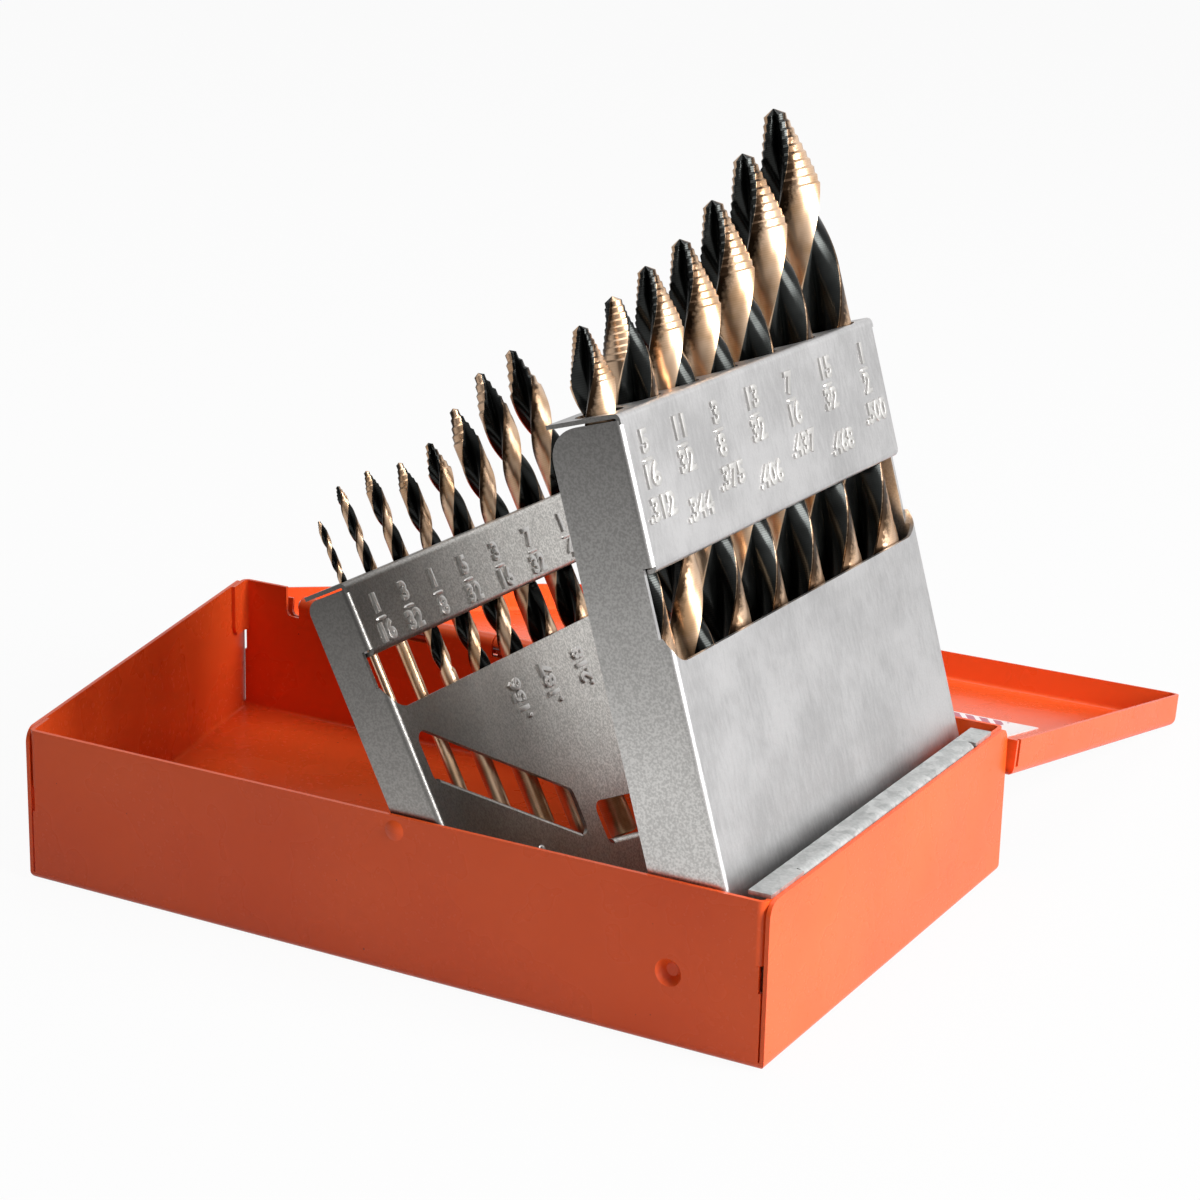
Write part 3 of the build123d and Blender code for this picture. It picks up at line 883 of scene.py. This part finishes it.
@dataclass
class SizeMarks:
    """The sizes raised on a rack's face: a fraction for each drill and some decimals."""

    body: Body
    plane: RackPlane
    material: bpy.types.Material
    digit_height: float
    relief: float = 0.24 * MM
    bevel: float = 0.2 * MM
    boldness: float = 0.07 * MM
    bar_width: float = 0.4 * MM
    bar_rings: int = 9
    bar_sides: int = 10
    bar_power: int = 4
    bar_end: float = 0.02
    dome_rise: Range = (-0.3, math.pi / 2 - 0.05)
    dome_rings: int = 8
    dome_sides: int = 24
    cap_share: float = 0.7
    bevel_steps: int = 1
    curve_steps: int = 3

    def text(
        self, name: str, words: str, height: float, depth: float, on_end: bool = False
    ) -> None:
        """Raise one number on the face.

        Args:
            name: the piece's name.
            words: the number.
            height: height up the face from the pivot.
            depth: Y of the number's middle.
            on_end: True if it reads up the face.
        """
        curve = bpy.data.curves.new(name, "FONT")
        curve.body = words
        curve.size = self.digit_height / self.cap_share
        curve.align_x, curve.align_y = "CENTER", "CENTER"
        curve.extrude = self.relief
        curve.bevel_depth = self.bevel
        curve.bevel_resolution = self.bevel_steps
        curve.offset = self.boldness
        curve.resolution_u = self.curve_steps
        holder = bpy.data.objects.new(name + "_text", curve)
        mesh = bpy.data.meshes.new_from_object(holder)
        bpy.data.objects.remove(holder)
        mesh.name = name
        close_seams(mesh)
        mesh.transform(self.plane.matrix(height, depth, on_end))
        self.seat(show(name, mesh))

    def decimal(self, words: str, height: float, depth: float, on_end: bool = False) -> None:
        """Raise a decimal, in a piece named by its digits.

        Args:
            words: the decimal, which starts with its point.
            height: height up the face from the pivot.
            depth: Y of the number's middle.
            on_end: True if it reads up the face.
        """
        self.text("decimal_" + words[1:], words, height, depth, on_end)

    def bar(self, name: str, height: float, depth: float, width: float) -> None:
        """Raise the bar of a fraction, as a rounded ridge.

        Args:
            name: the piece's name.
            height: height up the face from the pivot.
            depth: Y of the bar's middle.
            width: length of the bar.
        """
        along = np.linspace(-width / 2, width / 2, self.bar_rings)[:, None]
        angle = np.linspace(0, 2 * math.pi, self.bar_sides, endpoint=False)[None, :]
        fade = np.sqrt(np.clip(1 - (2 * along / width) ** self.bar_power, self.bar_end, 1))
        y = self.bar_width * fade * np.cos(angle)
        z = (self.relief + self.bevel) * fade * np.sin(angle)
        self.raise_grid(name, height, depth, (along, y, z))

    def dimple(self, name: str, height: float, depth: float, radius: float) -> None:
        """Raise a small dome on the face, as a quarter circle turned about its middle.

        Args:
            name: the piece's name.
            height: height up the face from the pivot.
            depth: Y of the dome's middle.
            radius: radius of the dome.
        """
        rise = np.linspace(*self.dome_rise, self.dome_rings)[:, None]
        around = np.linspace(0, 2 * math.pi, self.dome_sides, endpoint=False)[None, :]
        x = radius * np.cos(rise) * np.cos(around)
        y = radius * np.cos(rise) * np.sin(around)
        self.raise_grid(name, height, depth, (x, y, (self.relief + self.bevel) * np.sin(rise)))

    def raise_grid(
        self, name: str, height: float, depth: float, axes: tuple[np.ndarray, ...]
    ) -> None:
        """Raise a closed grid on the face.

        Args:
            name: the piece's name.
            height: height up the face from the pivot.
            depth: Y of the grid's middle.
            axes: grids of the distances across the face, up it and out of it.
        """
        x, y, z = np.broadcast_arrays(*axes)
        points = np.stack([x, y, z, np.ones_like(x)], axis=-1)
        matrix = np.array(self.plane.matrix(height, depth, False))
        self.seat(grid_mesh(name, (points @ matrix.T)[..., :3]))

    def seat(self, piece: bpy.types.Object) -> None:
        """Give a raised piece the rack's zinc, body and slot.

        Args:
            piece: the new piece.
        """
        dress(piece, self.material)
        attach(piece, self.body.value)

    def fraction(self, node: str, depth: float, top: float, bottom: float) -> None:
        """Raise a fraction named as its drill's node is, such as drill_3_16.

        Args:
            node: the drill's node.
            depth: Y of the drill.
            top: height of the numerator.
            bottom: height of the denominator.
        """
        upper, lower = node.split("_")[1:]
        name = f"size_{upper}_{lower}"
        self.text(name + "_top", upper, top, depth)
        self.text(name + "_bottom", lower, bottom, depth)
        self.bar(name + "_bar", (top + bottom) / 2, depth, self.digit_height)


@dataclass(frozen=True)
class Lamp:
    """A square lamp that points at the object, placed from the object's middle."""

    name: str
    offset: tuple[float, float, float]
    side: float
    watts: float

    def hang(self, aim: Vector) -> None:
        """Hang the lamp.

        Args:
            aim: the object's middle.
        """
        data = bpy.data.lights.new(self.name, "AREA")
        data.shape, data.size, data.energy = "SQUARE", self.side, self.watts
        lamp = bpy.data.objects.new(self.name, data)
        lamp.location = aim + Vector(self.offset)
        lamp.rotation_euler = (aim - lamp.location).to_track_quat("-Z", "Y").to_euler()
        bpy.context.scene.collection.objects.link(lamp)


@dataclass
class Studio:
    """Pale floor, soft lamps and the camera."""

    corner: Vector
    azimuth: float = 28.975
    elevation: float = 16.770
    roll: float = 1.443
    distance: float = 491.57 * MM
    sideways: float = -30.102 * MM
    upward: float = 81.250 * MM
    lens: float = 85.24
    clip: Range = (0.01, 50.0)
    floor_side: float = 8.0
    floor_drop: float = 0.2 * MM
    floor_white: float = 0.95
    paper: str = "#C8C8C8"
    sweep_middle: tuple[float, float, float] = (0.1, -0.1, 0.0)
    sweep_range: Range = (0.1, 0.3)
    sweep_white: Range = (1.0, 0.3)
    seen_white: float = 0.96
    fill: float = 0.14
    bright_side: tuple[float, float, float] = (0.6, 0.6, 0.5)
    bright_range: Range = (-0.5, 0.5)
    mirrored: Range = (0.12, 0.92)
    lamps: tuple[Lamp, ...] = (
        Lamp("key", (1.1, -0.05, 0.5), 0.7, 26.0),
        Lamp("top", (-0.25, 0.15, 1.2), 0.9, 5.5),
    )

    def camera(self) -> None:
        """Make the camera: it looks at a point beside and above the tray's near corner."""
        a, e, r = (math.radians(v) for v in (self.azimuth, self.elevation, self.roll))
        level = math.cos(e)
        back = Vector((math.sin(a) * level, -math.cos(a) * level, math.sin(e)))
        right = (-back).cross(Vector((0, 0, 1))).normalized()
        up = right.cross(-back)
        place = self.corner + right * self.sideways + up * self.upward + back * self.distance
        across = right * math.cos(r) + up * math.sin(r)
        above = up * math.cos(r) - right * math.sin(r)
        data = bpy.data.cameras.new("camera")
        data.lens, data.sensor_width = self.lens, SENSOR_MM
        data.clip_start, data.clip_end = self.clip
        camera = bpy.data.objects.new("camera", data)
        turn = Matrix((across, above, back)).transposed().to_4x4()
        camera.matrix_world = Matrix.Translation(place) @ turn
        bpy.context.scene.collection.objects.link(camera)
        bpy.context.scene.camera = camera

    def floor(self) -> None:
        """Lay the pale floor; the camera sees it nearly white, with the object's shadow."""
        half = self.floor_side / 2
        mesh = bpy.data.meshes.new("floor")
        corners = [(-half, -half, 0), (half, -half, 0), (half, half, 0), (-half, half, 0)]
        mesh.from_pydata(corners, [], [(0, 1, 2, 3)])
        piece = show("floor", mesh)
        piece.location.z = -self.floor_drop
        tree = MaterialTree("pale_studio_paper")
        rays = tree.add("ShaderNodeLightPath").outputs
        spot = {0: tree.place(), 1: self.sweep_middle}
        reach = tree.add("ShaderNodeVectorMath", spot, operation="DISTANCE").outputs["Value"]
        sweep = tree.span(reach, self.sweep_range, self.sweep_white)
        seen = tree.maths("MAXIMUM", rays["Is Glossy Ray"], rays["Is Transmission Ray"])
        seen = tree.maths("MULTIPLY", seen, sweep)
        seen = tree.maths("MAXIMUM", rays["Is Camera Ray"], seen)
        matt = tree.add("ShaderNodeBsdfDiffuse", {"Color": linear(self.paper)})
        glow = tree.add("ShaderNodeEmission", {"Color": WHITE, "Strength": 1.0})
        share = tree.maths("MULTIPLY", seen, self.floor_white)
        mixed = tree.add("ShaderNodeMixShader", {0: share, 1: matt.outputs[0], 2: glow.outputs[0]})
        tree.add("ShaderNodeOutputMaterial", {"Surface": mixed.outputs[0]})
        dress(piece, tree.material)
        piece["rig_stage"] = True

    def world(self) -> None:
        """Surround the object with white for the eye and for mirrors, and dim grey for light."""
        world = bpy.data.worlds.new("studio")
        world.use_nodes = True
        graph = NodeGraph(world.node_tree)
        rays = graph.add("ShaderNodeLightPath").outputs
        place = graph.add("ShaderNodeTexCoord").outputs["Generated"]
        sides = {0: place, 1: Vector(self.bright_side).normalized()}
        toward = graph.add("ShaderNodeVectorMath", sides, operation="DOT_PRODUCT")
        mirrored = graph.span(toward.outputs["Value"], self.bright_range, self.mirrored)
        glossy = {"Factor": rays["Is Glossy Ray"], "A": self.fill, "B": mirrored}
        light = graph.add("ShaderNodeMix", glossy).outputs["Result"]
        seen = {"Factor": rays["Is Camera Ray"], "A": light, "B": self.seen_white}
        strength = graph.add("ShaderNodeMix", seen).outputs["Result"]
        background = world.node_tree.nodes["Background"]
        world.node_tree.links.new(strength, background.inputs["Strength"])
        background.inputs["Color"].default_value = WHITE
        bpy.context.scene.world = world

    def build(self, middle: Vector) -> None:
        """Build the whole studio.

        Args:
            middle: the object's middle, at which the lamps point.
        """
        self.camera()
        self.floor()
        self.world()
        for lamp in self.lamps:
            lamp.hang(middle)
        bpy.context.scene.view_settings.view_transform = "Standard"


@dataclass(frozen=True)
class DrillRow:
    """What sets the drills of one rack apart, smallest drill first.

    The turns are in radians about each drill's axis, and the flutes' lengths in millimetres.
    """

    body: Body
    step_count: int
    turns: tuple[float, ...]
    flutes_mm: tuple[float, ...]


SMALL_ROW = DrillRow(
    Body.SMALL_RACK,
    4,
    (1.6, 3.0, 1.8, 1.9, 0.4, 1.7, 1.2, 0.8),
    (22.2, 31.8, 41.3, 50.8, 58.7, 63.5, 69.9, 74.6),
)
LARGE_ROW = DrillRow(
    Body.LARGE_RACK,
    9,
    (3.35, 1.8, 3.0, 3.05, 3.0, 3.0, 3.0),
    (81.0, 87.3, 92.1, 98.4, 103.2, 109.5, 114.3),
)
LARGE_DECIMALS = (".312", ".344", ".375", ".406", ".437", ".468", ".500")
SMALL_DECIMALS = {"drill_5_32": ".156", "drill_3_16": ".187", "drill_7_32": ".218"}


@dataclass
class DrillCase:
    """The whole case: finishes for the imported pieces, and the pieces that it adds."""

    frame: dict
    large_numerator: float = 91.8 * MM
    large_denominator: float = 85.8 * MM
    large_decimals: Range = (80.0 * MM, 77.2 * MM)
    large_digit: float = 3.9 * MM
    decimal_shift: float = 1.0 * MM
    small_numerator: float = 66.9 * MM
    small_denominator: float = 61.3 * MM
    small_decimal: float = 39.0 * MM
    small_digit: float = 3.4 * MM
    dimple_height: float = 11.5 * MM
    dimple_depth: float = -27.3 * MM
    dimple_radius: float = 1.1 * MM
    # the small rack's zinc: darker side walls as painted light, and painted shade on the faces
    # towards the near end and up the walls
    small_zinc: ZincPlate = ZincPlate(
        name="zinc_plate_painted_shade",
        pale="#E4E1DC",
        soft="#D0CDC8",
        side="#A9A6A2",
        face_painted_shade=0.75,
        face_mottle=0.36,
        wall_painted_shade=0.8,
        painted_shade_from=0.25,
        near_share=0.5,
    )
    # painted highlight: the raised strokes are paler than the face around them
    highlit_zinc: ZincPlate = ZincPlate(
        name="zinc_plate_painted_highlight",
        pale="#DCDAD7",
        soft="#D2D0CD",
        side="#D2D0CD",
        wall_painted_shade=0.0,
        wall_mottle=0.06,
    )

    def joint(self, name: str) -> dict:
        """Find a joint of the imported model.

        Args:
            name: the joint's name.

        Returns:
            The joint's record.
        """
        return next(j for j in self.frame["joints"] if j["name"] == name)

    def drills(self, body: Body) -> list[str]:
        """Find the drills that slide in a rack.

        Args:
            body: the rack's body.

        Returns:
            Names of the drills' nodes, smallest drill first.
        """
        slides = (j for j in self.frame["joints"] if j["type"] == "slide")
        names = (j["child"] for j in slides if j["parent"] == body.value)
        return sorted(names, key=lambda n: int(n.split("_")[1]) / int(n.split("_")[2]))

    def plane(self, body: Body) -> RackPlane:
        """Work out a rack's face from its pivot and from the way its drills slide.

        Args:
            body: the rack's body, which has one node of the same name.

        Returns:
            The plane of the rack's face.
        """
        pivot = Vector(self.joint(body.value + "_pivot")["pos_m"])
        up = Vector(self.joint(self.drills(body)[0] + "_slide")["axis"]).normalized()
        normal = Vector((0, 1, 0)).cross(up)
        points = mesh_points(self.frame["nodes"][body.value])
        face = float((points @ np.array(normal)).max()) - pivot.dot(normal)
        return RackPlane(pivot, up, face)

    def finishes(self) -> dict[str, bpy.types.Material]:
        """Make every finish.

        Returns:
            The materials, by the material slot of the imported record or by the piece's name.
        """
        return {
            "enamel": AlkydEnamel().material(),
            "zinc": ZincPlate().material(*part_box("large_rack")),
            "small_rack": self.small_zinc.material(*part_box("small_rack")),
            # the raised strokes' zinc carries a painted highlight
            "raised": self.highlit_zinc.material(*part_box("large_rack")),
            "galvanised": GalvanisedSheet().material(),
            "drill_steel": DrillSteel().material(),
            "hinge_wire": DrawnSteel("drawn_steel_wire").material(),
            "stud_steel": DrawnSteel("plated_turned_steel", "#C2C2C4").material(),
            "label": PrintedFilm().material(*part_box("lid_label")),
        }

    def build(self) -> None:
        """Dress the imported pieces, then add the drills and the sizes."""
        finishes = self.finishes()
        for part in self.frame["record"]["subparts"]:
            finish = finishes.get(part["node"], finishes[part["material_slot"]])
            dress(self.frame["nodes"][part["node"]], finish)
        log.info("finishes: %d", len(finishes))
        for row in (SMALL_ROW, LARGE_ROW):
            up = self.plane(row.body).up
            for name, turn, flute in zip(self.drills(row.body), row.turns, row.flutes_mm):
                drill = TwistDrill(self.frame["nodes"][name], up, turn, row.step_count, flute * MM)
                piece = drill.build(finishes["drill_steel"])
                log.info("%s: %d faces", piece.name, len(piece.data.polygons))
        self.large_marks(finishes["raised"])
        self.small_marks(finishes["raised"])
        log.info("sizes raised on both racks")

    def depth(self, node: str) -> float:
        """Find the middle of a drill along Y.

        Args:
            node: the drill's node.

        Returns:
            The Y of its middle.
        """
        low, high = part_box(node)
        return (low.y + high.y) / 2

    def large_marks(self, material: bpy.types.Material) -> None:
        """Raise a fraction and a decimal below each drill of the large rack.

        Args:
            material: the zinc of the raised strokes.
        """
        body = Body.LARGE_RACK
        marks = SizeMarks(body, self.plane(body), material, self.large_digit)
        for name in self.drills(body):
            depth = self.depth(name)
            marks.fraction(name, depth, self.large_numerator, self.large_denominator)
        for k, (name, words) in enumerate(zip(self.drills(body), LARGE_DECIMALS)):
            height = self.large_decimals[k % len(self.large_decimals)]
            marks.decimal(words, height, self.depth(name) + self.decimal_shift)

    def small_marks(self, material: bpy.types.Material) -> None:
        """Raise a fraction below each drill of the small rack, three decimals and a dimple.

        Args:
            material: the zinc of the raised strokes.
        """
        body = Body.SMALL_RACK
        marks = SizeMarks(body, self.plane(body), material, self.small_digit)
        for name in self.drills(body):
            depth = self.depth(name)
            marks.fraction(name, depth, self.small_numerator, self.small_denominator)
        for name, words in SMALL_DECIMALS.items():
            depth = self.depth(name) + self.decimal_shift
            marks.decimal(words, self.small_decimal, depth, on_end=True)
        marks.dimple("stamped_dimple", self.dimple_height, self.dimple_depth, self.dimple_radius)


def main() -> None:
    """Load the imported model, dress it and light it."""
    logging.basicConfig(level=logging.INFO, format="%(message)s")
    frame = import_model()
    low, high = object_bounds()
    DrillCase(frame).build()
    tray_low, tray_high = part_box("tray")
    corner = Vector((tray_high.x, tray_low.y, 0))
    Studio(corner).build((low + high) / 2)


if __name__ == "__main__":
    main()
